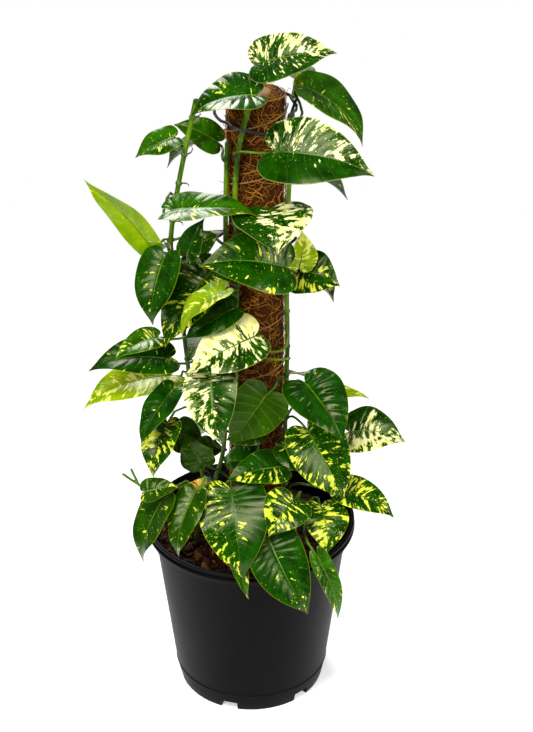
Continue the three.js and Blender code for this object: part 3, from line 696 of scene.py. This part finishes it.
def blade_frame(node):
    """The blade's own axes, length, width, bow and fold, worked out from the CAD."""
    at = blade_points(node)
    along = at["tip"] - at["base"]
    across = at["right"] - at["left"]
    length, width = along.length, across.length
    along, across = along.normalized(), across.normalized()
    out = across.cross(along)
    bow = (at["middle"] - at["base"]).dot(out) / 0.99
    fold = ((at["right"] - at["base"]).dot(out) - 0.77 * bow) / (0.275 * width)
    return at["base"], along, across, out, length, width, bow, fold


# Half of the leaf's outline from the notch at the petiole, round the lobe, to the tip: along and across, as
# shares of the length and of half the width.
outline = [(0, 0), (-0.075, 0.11), (-0.135, 0.33), (-0.125, 0.60), (-0.045, 0.85), (0.09, 0.98), (0.24, 1.0),
           (0.41, 0.925), (0.57, 0.765), (0.71, 0.55), (0.83, 0.31), (0.92, 0.115), (1.0, 0)]


def margin(share):
    """The outline's point at a share of its length, on a smooth curve through its points."""
    knots = np.array(outline)
    steps = np.linalg.norm(np.diff(knots * (1, 0.45), axis=0), axis=1)
    marks = np.concatenate([[0], np.cumsum(steps)]) / steps.sum()
    slopes = np.gradient(knots, marks, axis=0)
    k = np.clip(np.searchsorted(marks, share, side="right") - 1, 0, len(marks) - 2)
    gap = marks[k + 1] - marks[k]
    x = ((share - marks[k]) / gap)[:, None]
    first, last = slopes[k] * gap[:, None], slopes[k + 1] * gap[:, None]
    return ((2 * x**3 - 3 * x**2 + 1) * knots[k] + (x**3 - 2 * x**2 + x) * first
            + (3 * x**2 - 2 * x**3) * knots[k + 1] + (x**3 - x**2) * last)


vein_rows, half_columns, blade_skin, vein_gap = 76, 13, 0.5 * MM, 8 * MM
tip_curl = 0.08


def leaf_blade(name, shape, number, splashed, wave, pucker):
    """A leaf whose rows of points follow its side veins. Its UV map is in metres, shifted by number."""
    base, along, across, out, length, width, bow, fold = shape
    dice = random.Random(name)
    deselect()
    bpy.ops.mesh.primitive_grid_add(x_subdivisions=vein_rows, y_subdivisions=2 * half_columns, size=2)
    piece = bpy.context.object
    piece.name = name
    data = piece.data
    spots = np.array([vertex.co for vertex in data.vertices])
    vein = 0.022 + 0.978 * (spots[:, 0] + 1) / 2
    side = -spots[:, 1]
    reach = np.abs(side)
    edge = margin(vein)
    start = vein ** 2.4
    # A side vein leaves the midrib at a wide angle and bends towards the tip.
    bend_along, bend_out = start + 0.30 * (edge[:, 0] - start), 0.56 * edge[:, 1]
    a = (1 - reach) ** 2 * start + 2 * reach * (1 - reach) * bend_along + reach ** 2 * edge[:, 0]
    b = 2 * reach * (1 - reach) * bend_out + reach ** 2 * edge[:, 1]
    u = np.clip(a, 0, 1)
    across_way = np.sign(side) * b * width / 2
    soft_side = np.sqrt(across_way ** 2 + (1.3 * MM) ** 2) - 1.3 * MM
    rise = bow * 4 * u * (1 - u) + fold * soft_side * (1 - 0.42 * b)
    phase, count = dice.uniform(0, 6.28), dice.uniform(2.1, 3.3)
    ripple = np.sin(2 * math.pi * count * vein + phase + 1.9 * (side > 0))
    rise += wave * MM * reach ** 2.2 * ripple * np.sin(math.pi * np.clip(vein, 0, 1)) ** 0.5
    quilt = np.abs(np.sin(math.pi * vein * length / vein_gap)) ** 0.7 * 4 * reach * (1 - reach)
    rise += pucker * MM * quilt * np.clip(b * 2.5, 0, 1)
    rise -= tip_curl * length * np.clip((a - 0.72) / 0.28, 0, 1) ** 2
    rise -= 0.05 * length * np.clip(-a / 0.14, 0, 1) ** 2
    lean = dice.uniform(-0.06, 0.06) * width
    sway = lean * np.sin(math.pi * u)
    placed = (np.array(base) + np.outer(a * length, along) + np.outer(across_way + sway, across)
              + np.outer(rise, out))
    data.vertices.foreach_set("co", placed.ravel())
    loops = np.array([loop.vertex_index for loop in data.loops])
    plan = np.stack([vein * length + number, side * width / 2], axis=1)
    data.uv_layers[0].data.foreach_set("uv", plan[loops].ravel())
    # How much of the blade is splashed, along it and from side to side, as a shift of the pattern's level.
    amount, to_tip, to_side = splashed
    part = np.clip(amount + to_tip * (vein - 0.5) + to_side * side, 0.004, 0.98)
    beside = data.attributes.new("edge", "FLOAT", "POINT")
    beside.data.foreach_set("value", reach.astype(np.float32))
    level = data.attributes.new("splash", "FLOAT", "POINT")
    level.data.foreach_set("value", (0.04 * np.log(part / (1 - part))).astype(np.float32))
    choose(piece)
    bpy.ops.object.mode_set(mode="EDIT")
    bpy.ops.mesh.select_all(action="SELECT")
    bpy.ops.mesh.remove_doubles(threshold=0.00003)
    bpy.ops.object.mode_set(mode="OBJECT")
    # The midrib stands out beneath the blade and runs on into the petiole.
    rib, radii = [], []
    under = -np.array(out)
    for k in range(15):
        share = k / 14
        lift = bow * 4 * share * (1 - share) - tip_curl * length * max(0, (share - 0.72) / 0.28) ** 2
        drift = lean * math.sin(math.pi * share)
        rib.append(np.array(base) + np.array(along) * share * length + np.array(out) * lift
                   + under * (blade_skin * 0.9) + np.array(across) * drift)
        radii.append((1.15 - 1.0 * share) * MM)
    stalk_end = np.array(base) + under * 3.0 * MM - np.array(along) * 1.0 * MM
    stalk_way = np.array(along) * 0.8 + np.array(out) * 0.6
    neck = [stalk_end - stalk_way * 3.0 * MM, stalk_end, stalk_end * 0.45 + rib[0] * 0.55 + under * 0.3 * MM]
    midrib = rod("midrib", neck + rib[:-1], [1.75 * MM, 1.75 * MM, 1.5 * MM] + radii[:-1], rounding=1)
    return piece, midrib


def leaf_skin(name, dark, light, young, splash, pale, beneath=False):
    """A leaf's cuticle: waxy and glossy above, duller and paler beneath, splashed along its side veins."""
    if beneath:
        skin, tree, shader = material(name, Roughness=0.3, IOR=1.4, Specular_IOR_Level=0.3,
                                      Specular_Tint=(1.0, 1.0, 0.55, 1.0))
    else:
        skin, tree, shader = material(name, Roughness=0.2, IOR=1.42, Specular_IOR_Level=0.42,
                                      Specular_Tint=(1.0, 1.0, 0.55, 1.0))
    plan = add(tree, "TexCoord", output="UV")
    x = add(tree, "SeparateXYZ", {"Vector": plan}, output="X")
    y = add(tree, "SeparateXYZ", {"Vector": plan}, output="Y")
    off_rib = add(tree, "Math", {0: y}, operation="ABSOLUTE")
    # Splashes about 8 mm wide and streaks 3 mm wide, three and six times as long, and freckles under 2 mm.
    wide = add(tree, "Mapping", {"Vector": plan, "Scale": (1, 0.34, 1)})
    narrow = add(tree, "Mapping", {"Vector": plan, "Scale": (1, 0.17, 1)})
    sectors = add(tree, "TexNoise", {"Vector": wide, "Scale": 118, "Detail": 4, "Roughness": 0.62})
    streaks = add(tree, "TexNoise", {"Vector": narrow, "Scale": 330, "Detail": 3, "Roughness": 0.6})
    dotty = add(tree, "Mapping", {"Vector": plan, "Scale": (1, 0.6, 1)})
    specks = add(tree, "TexNoise", {"Vector": dotty, "Scale": 620, "Detail": 2})
    level = add(tree, "Attribute", output="Fac", attribute_name="splash")
    broad = add(tree, "Math", {0: sectors, 1: 0.54, 2: level}, operation="MULTIPLY_ADD")
    pattern = add(tree, "Math", {0: streaks, 1: 0.46, 2: broad}, operation="MULTIPLY_ADD")
    edge = add(tree, "Attribute", output="Fac", attribute_name="edge")
    # A thin pale rim along every leaf's margin: a painted highlight on the edges, in the splash colour.
    painted_margin_highlight = add(tree, "MapRange", {"Value": edge, "From Min": 0.972, "From Max": 0.99, "To Max": 0.3})
    splashed = add(tree, "MapRange", {"Value": pattern, "From Min": 0.497, "From Max": 0.507})
    misted = add(tree, "MapRange", {"Value": pattern, "From Min": 0.46, "From Max": 0.50, "To Max": 0.5})
    dots = add(tree, "Math", {0: level, 1: 0.5, 2: specks}, operation="MULTIPLY_ADD")
    freckled = add(tree, "MapRange", {"Value": dots, "From Min": 0.64, "From Max": 0.66, "To Max": 0.85})
    vein = add(tree, "Math", {0: x, 1: vein_gap / 2}, operation="PINGPONG")
    on_vein = add(tree, "MapRange", {"Value": vein, "From Min": 0.2 * MM, "From Max": 0.7 * MM, "To Min": 1.0,
                                     "To Max": 0.0})
    on_rib = add(tree, "MapRange", {"Value": off_rib, "From Min": 0.45 * MM, "From Max": 1.1 * MM,
                                    "To Min": 0.75, "To Max": 0.0})
    cloudy = add(tree, "TexNoise", {"Vector": plan, "Scale": 55, "Detail": 3})
    tint = add(tree, "MapRange", {"Value": cloudy, "From Min": 0.35, "From Max": 0.65})
    bleach = add(tree, "MapRange", {"Value": streaks, "From Min": 0.42, "From Max": 0.6})
    green = add(tree, "Mix", {"Factor": tint, "A": linear(dark), "B": linear(light)}, data_type="RGBA")
    green = add(tree, "Mix", {"Factor": misted, "A": green, "B": linear(young)}, data_type="RGBA")
    veined = add(tree, "Math", {0: on_vein, 1: 0.55 if beneath else 0.1}, operation="MULTIPLY")
    green = add(tree, "Mix", {"Factor": veined, "A": green, "B": linear(young)}, data_type="RGBA")
    bright = add(tree, "Mix", {"Factor": bleach, "A": linear(splash), "B": linear(pale)}, data_type="RGBA")
    colour = add(tree, "Mix", {"Factor": freckled, "A": green, "B": bright}, data_type="RGBA")
    colour = add(tree, "Mix", {"Factor": splashed, "A": colour, "B": bright}, data_type="RGBA")
    colour = add(tree, "Mix", {"Factor": on_rib, "A": colour, "B": linear(young)}, data_type="RGBA")
    colour = add(tree, "Mix", {"Factor": painted_margin_highlight, "A": colour, "B": linear(splash)}, data_type="RGBA")
    if beneath:
        colour = add(tree, "Mix", {"Factor": 0.35, "A": colour, "B": linear("#355a02")}, data_type="RGBA")
    tree.links.new(colour, shader.inputs["Base Color"])
    fine = add(tree, "TexNoise", {"Vector": plan, "Scale": 1500, "Detail": 2})
    relief = add(tree, "Math", {0: on_vein, 1: 0.8 if beneath else -0.8, 2: fine}, operation="MULTIPLY_ADD")
    bumps = add(tree, "Bump", {"Height": relief, "Strength": 0.35, "Distance": 0.0003})
    tree.links.new(bumps, shader.inputs["Normal"])
    if not beneath:
        gloss = add(tree, "MapRange", {"Value": cloudy, "To Min": 0.1, "To Max": 0.2})
        tree.links.new(gloss, shader.inputs["Roughness"])
    return skin


# dark and light green, the half-green next to a splash, the splash and its palest streaks
leaf_colours = {
    "deep": ("#062c00", "#164e00", "#387800", "#b2cc08", "#ecec50"),
    "fresh": ("#123c00", "#2f6a00", "#6c9800", "#c4d81a", "#eeee6c"),
    "cream": ("#072c00", "#174c00", "#5e8a08", "#e2e26c", "#f8f3bc"),
    "lime": ("#689000", "#94b000", "#b8c80c", "#dae028", "#f2f07c"),
    "olive": ("#123800", "#265200", "#527a04", "#b4c41c", "#e0e056"),
    "dying": ("#b98a20", "#d8b83a", "#8f5a1c", "#e0cc50", "#8a4f18"),
}
leaf_skins = {key: (leaf_skin("waxy_leaf_" + key, *codes),
                    leaf_skin("leaf_back_" + key, *codes, beneath=True))
              for key, codes in leaf_colours.items()}
leaf_slots = {"deep": "leaf_dark_green", "fresh": "leaf_green", "cream": "leaf_cream", "lime": "leaf_lime",
              "olive": "leaf_green", "dying": "leaf_lime"}
# Each leaf's colouring; how much of it is splashed, with the change towards its tip and its right side.
leaf_looks = {
    "crown_top": ("cream", 0.26, 0.2, -0.2),
    "crown_left": ("deep", 0.1, 0.05, 0),
    "crown_right": ("fresh", 0.10, 0.10, 0.08),
    "shoulder_right": ("cream", 0.14, 0.0, -0.24),
    "bow_left": ("fresh", 0.10, 0, 0),
    "bow_right": ("fresh", 0.04, 0, 0),
    "far_left_lime": ("lime", 0.03, 0, 0),
    "bridge": ("fresh", 0.08, 0, 0.1),
    "heart": ("cream", 0.3, 0.3, -0.3),
    "lime_right": ("lime", 0.4, 0, 0),
    "big_center": ("deep", 0.09, 0.0, 0.0),
    "fan_right": ("deep", 0.18, 0.1, 0.15),
    "drop_left": ("deep", 0.05, 0.05, 0),
    "sliver_left": ("deep", 0.05, 0, 0),
    "large_left": ("deep", 0.16, 0.1, 0),
    "crescent": ("lime", 0.15, 0, 0),
    "white": ("cream", 0.58, -0.1, 0.45),
    "wing_low": ("deep", 0.08, -0.1, 0),
    "wing_high": ("fresh", 0.2, -0.1, 0),
    "lime_left": ("lime", 0.3, 0, 0),
    "dark_left": ("deep", 0.03, 0, 0),
    "center_left": ("cream", 0.27, -0.05, 0.25),
    "olive": ("olive", 0.02, 0, 0),
    "glossy_right": ("deep", 0.02, 0, 0),
    "varieg_right": ("cream", 0.36, 0.1, 0.34),
    "big_varieg_right": ("deep", 0.2, 0.08, 0.0),
    "low_left_varieg": ("deep", 0.3, 0.1, 0),
    "low_center": ("deep", 0.14, 0.1, -0.18),
    "low_right_dark": ("deep", 0.06, 0, 0),
    "yellowing": ("dying", 0.3, 0, 0),
    "left_outer": ("olive", 0.09, 0, 0),
    "left_inner": ("olive", 0.07, 0, 0),
    "speckled": ("deep", 0.12, 0, 0.2),
    "front_glossy": ("deep", 0.03, 0.16, 0),
    "front_narrow": ("fresh", 0.05, 0.05, 0),
    "low_right": ("deep", 0.3, 0.1, 0),
    "low_right_heart": ("deep", 0.34, 0.1, 0),
    "low_front_heart": ("deep", 0.25, 0.15, 0.1),
    "back_crown": ("fresh", 0.15, 0.1, 0),
    "back_high_left": ("cream", 0.35, 0.1, 0.2),
    "back_high_right": ("deep", 0.08, 0, 0),
    "back_mid_left": ("deep", 0.2, 0.1, 0),
    "back_mid_right": ("cream", 0.4, 0, -0.3),
    "back_low_left": ("deep", 0.07, 0.1, 0),
    "back_low_right": ("deep", 0.28, 0.1, 0.1),
    "back_rim_left": ("cream", 0.3, 0.1, 0.2),
    "back_rim_right": ("deep", 0.12, 0.1, 0),
}
# How far a blade bulges between its side veins, in mm, where it is more or less quilted than the others.
usual_pucker = 0.55
puckered = {"glossy_right": 2.0, "front_glossy": 1.1, "speckled": 0.5, "crown_left": 1.3,
            "low_right_heart": 0.7, "far_left_lime": 0.15}
# Leaves that lie close over another one are flatter, so that they don't cut through it.
usual_wave = 1.3
waved = {"wing_high": 0.4, "large_left": 0.6, "low_right": 0.3, "big_varieg_right": 0.6,
         "low_front_heart": 0.3, "front_glossy": 0.4, "speckled": 0.6}
# How far some of them move along their upper side's way, in mm, to lie clear of the leaf next to them.
nudged = {"low_right": -1.1, "front_glossy": -1.4, "low_front_heart": 1.8}


def finish_leaf(name, shape, number, look, stands_for):
    colouring, *splashed = look
    base, along, across, out, *sizes = shape
    shape = (base + out * nudged.get(name, 0) * MM, along, across, out, *sizes)
    blade, midrib = leaf_blade(name, shape, number, splashed,
                               waved.get(name, usual_wave), puckered.get(name, usual_pucker))
    for skin in leaf_skins[colouring]:
        blade.data.materials.append(skin)
    finish_modifier(blade, "SOLIDIFY", thickness=blade_skin, offset=-1, material_offset=1)
    midrib.data.materials.append(stem_skin)
    settle(joined(name, [blade, midrib]), None, leaf_slots[colouring], *stands_for, angle=50)


for number, (name, look) in enumerate(leaf_looks.items()):
    finish_leaf(name, blade_frame("leaf_" + name), number, look, ["leaf_" + name])


# ---- Small inner leaves ----
# Smaller leaves that grow between the vines and behind the large ones, each on its own short petiole. Each
# has the places of its base and tip, as angle round the pole, distance out from the sleeve and height above
# the soil, its width, the way its upper side faces, its bow, and its colouring.
def by_pole(around, out, up):
    r, turn = pole_radius + out * MM, math.radians(around)
    return Vector((pole_x + r * math.cos(turn), pole_y + r * math.sin(turn), soil_top + up * MM))


def leaf_shape(base, tip, width, turn, lift, bow, fold=0.25):
    along = tip - base
    length = along.length
    along.normalize()
    out = Vector((math.cos(math.radians(turn)), math.sin(math.radians(turn)), math.tan(math.radians(lift))))
    out = (out - along * out.dot(along)).normalized()
    return base, along, along.cross(out), out, length, width * MM, bow * MM, fold


inner_leaves = {
    "crown_lime": ((21, 17, 553), (21, 15, 580), 17, -70, 20, 2, ("lime", 0.3, 0, 0)),
    "inner_left": ((180, 28, 369), (-173, 56, 354), 34, -120, 50, 4, ("deep", 0.08, 0, 0)),
    "behind_center": ((-130, 17, 256), (-139, 45, 233), 24, -110, 40, 4, ("deep", 0.05, 0, 0)),
    "behind_white": ((-117, 24, 331), (-143, 69, 299), 36, -100, 45, 5, ("deep", 0.06, 0, 0)),
    "left_mid_back": ((-165, 64, 157), (-158, 35, 146), 44, -120, 30, 3, ("olive", 0.05, 0, 0)),
    "center_pale": ((-88, 10, 174), (-125, 29, 161), 40, -100, 30, 3, ("olive", 0.08, 0, 0)),
    "small_back_left": ((176, 42, 379), (160, 12, 391), 34, -90, 50, 3, ("fresh", 0.15, 0, 0)),
    "pale_back": ((159, 25, 116), (172, 37, 99), 30, -90, 30, 3, ("fresh", 0.1, 0, 0)),
    "low_left_olive": ((-144, 126, 118), (-134, 96, 125), 30, -125, 50, 4, ("olive", 0.12, 0, 0)),
    "low_left_back": ((-146, 45, 124), (-156, 59, 160), 42, -110, 20, 3, ("olive", 0.05, 0, 0)),
    "hidden_right": ((13, 33, 194), (6, 104, 183), 22, -60, 60, 4, ("lime", 0.2, 0, 0)),
    "low_center_back": ((-96, 16, 133), (-128, 34, 137), 44, -95, 40, 4, ("deep", 0.05, 0, 0)),
    "yellowed": ((-127, 62, 112), (-139, 90, 104), 24, -110, 45, 3, ("dying", 0.3, 0, 0)),
    "drip": ((-103, 78, 70), (-94, 109, 0), 24, -95, 20, 3, ("fresh", 0.1, 0, 0)),
}
# The first shift of their patterns, beyond those of the large leaves, so that no two leaves look alike.
inner_shift = 60
for number, (name, (base, tip, width, turn, lift, bow, look)) in enumerate(inner_leaves.items()):
    shape = leaf_shape(by_pole(*base), by_pole(*tip), width, turn, lift, bow)
    finish_leaf("inner_leaf_" + name, shape, inner_shift + number, look, [])
    # Its petiole comes up from beside the sleeve and meets the blade from below.
    neck = shape[0] - shape[3] * 3.0 * MM - shape[1] * 3.4 * MM
    root = by_pole(base[0], 5, max(6, base[2] - 34))
    bend = root.lerp(neck, 0.55) + Vector((0, 0, 0.006))
    line = [root.lerp(bend, k / 6).lerp(bend.lerp(neck, k / 6), k / 6) for k in range(7)]
    settle(rod("inner_petiole_" + name, line, [1.6 * MM] * 7), stem_skin, "green_stem", angle=60)


# ---- Floor and light ----
# A white sweep under plain studio light: a tall softbox in front on the left, a narrower one on the right,
# and one high in front and one behind. The table fades into the white room, so that no edge shows.
deselect()
bpy.ops.mesh.primitive_circle_add(vertices=96, radius=1.6, fill_type="NGON", location=(0, 0, 0))
floor = bpy.context.object
floor.name = "studio_floor"
# Matt white paper, lit a little from itself so that it stays as white as the room.
sheet, tree, shader = material("matt_white_sweep", Roughness=0.9, Emission_Strength=0.45)
shader.inputs["Base Color"].default_value = linear("#f4f4f4")
shader.inputs["Emission Color"].default_value = (1, 1, 1, 1)
place = add(tree, "TexCoord", output="Object")
from_middle = add(tree, "VectorMath", {0: place}, output="Value", operation="LENGTH")
faded = add(tree, "MapRange", {"Value": from_middle, "From Min": 0.55, "From Max": 1.5, "To Min": 1.0,
                               "To Max": 0.0}, interpolation_type="SMOOTHSTEP")
tree.links.new(faded, shader.inputs["Alpha"])
floor.data.materials.append(sheet)

# The room is white to look at, but gives the plant only a weak even light, so that the softboxes shape it.
world = bpy.data.worlds.new("white_room")
scene.world = world
world.use_nodes = True
room = world.node_tree
seen = add(room, "LightPath", output="Is Camera Ray")
strength = add(room, "MapRange", {"Value": seen, "To Min": 0.14, "To Max": 1.0})
room.nodes["Background"].inputs["Color"].default_value = (1, 1, 1, 1)
room.links.new(strength, room.nodes["Background"].inputs["Strength"])
scene.view_settings.view_transform = "Standard"


def softbox(name, place, aim, width, height, watts):
    light = bpy.data.lights.new(name, "AREA")
    light.shape, light.size, light.size_y = "RECTANGLE", width, height
    light.energy = watts
    lamp = bpy.data.objects.new(name, light)
    scene.collection.objects.link(lamp)
    lamp.location = place
    lamp.rotation_euler = (Vector(aim) - Vector(place)).to_track_quat("-Z", "Y").to_euler()


softbox("key_softbox", (-1.15, -1.45, 1.7), (0, 0, 0.45), 0.5, 1.5, 32)
softbox("fill_softbox", (1.5, -0.9, 1.3), (0, 0, 0.45), 0.4, 1.4, 20)
softbox("front_softbox", (-0.25, -1.15, 2.15), (0, 0, 0.5), 0.9, 0.45, 20)
softbox("back_softbox", (-0.5, 1.7, 1.9), (0, 0, 0.5), 0.8, 1.2, 34)
